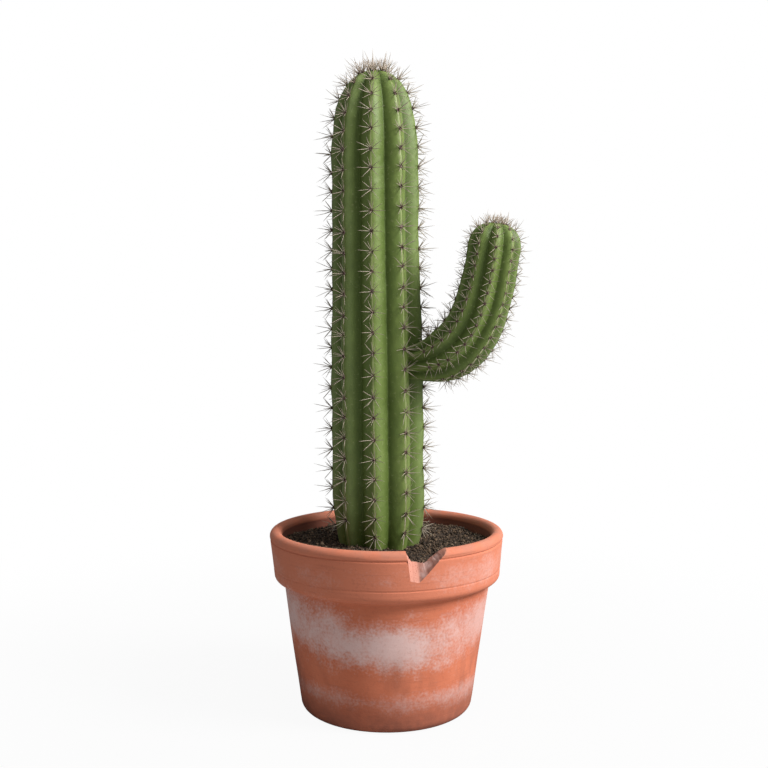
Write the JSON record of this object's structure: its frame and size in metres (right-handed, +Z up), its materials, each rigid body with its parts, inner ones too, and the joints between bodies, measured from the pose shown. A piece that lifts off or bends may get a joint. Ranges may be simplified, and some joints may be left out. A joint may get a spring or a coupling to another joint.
{
  "type": "potted cactus",
  "caption": "Ribbed columnar cactus with an upturned side arm and rows of spines, rooted in soil in a chipped terracotta pot.",
  "frame": {"origin": "centre of the pot's flat foot, on the surface it stands on", "axes": "+Z up along the stem; -Y is the front, where the chip in the rim shows; the side arm grows towards +X"},
  "size_m": [0.1733, 0.1582, 0.433],
  "materials": {
    "terracotta": "matte",
    "potting_soil": "matte",
    "cactus_skin": "satin",
    "spines": "satin"
  },
  "bodies": {
    "root": {"pot": "terracotta", "potting_soil": "potting_soil", "main_stem": "cactus_skin", "side_arm": "cactus_skin", "spine_row_stem_1": "spines", "spine_row_stem_2": "spines", "spine_row_stem_3_below_arm": "spines", "spine_row_stem_3_above_arm": "spines", "spine_row_stem_4": "spines", "spine_row_stem_5": "spines", "spine_row_stem_6": "spines", "spine_row_stem_7": "spines", "spine_row_stem_8": "spines", "spine_row_stem_9": "spines", "spine_row_arm_1": "spines", "spine_row_arm_2": "spines", "spine_row_arm_3": "spines", "spine_row_arm_4": "spines", "spine_row_arm_5": "spines", "spine_row_arm_6": "spines", "spine_row_arm_7": "spines", "spine_row_arm_8": "spines", "spine_row_arm_9": "spines"}
  },
  "joints": []
}
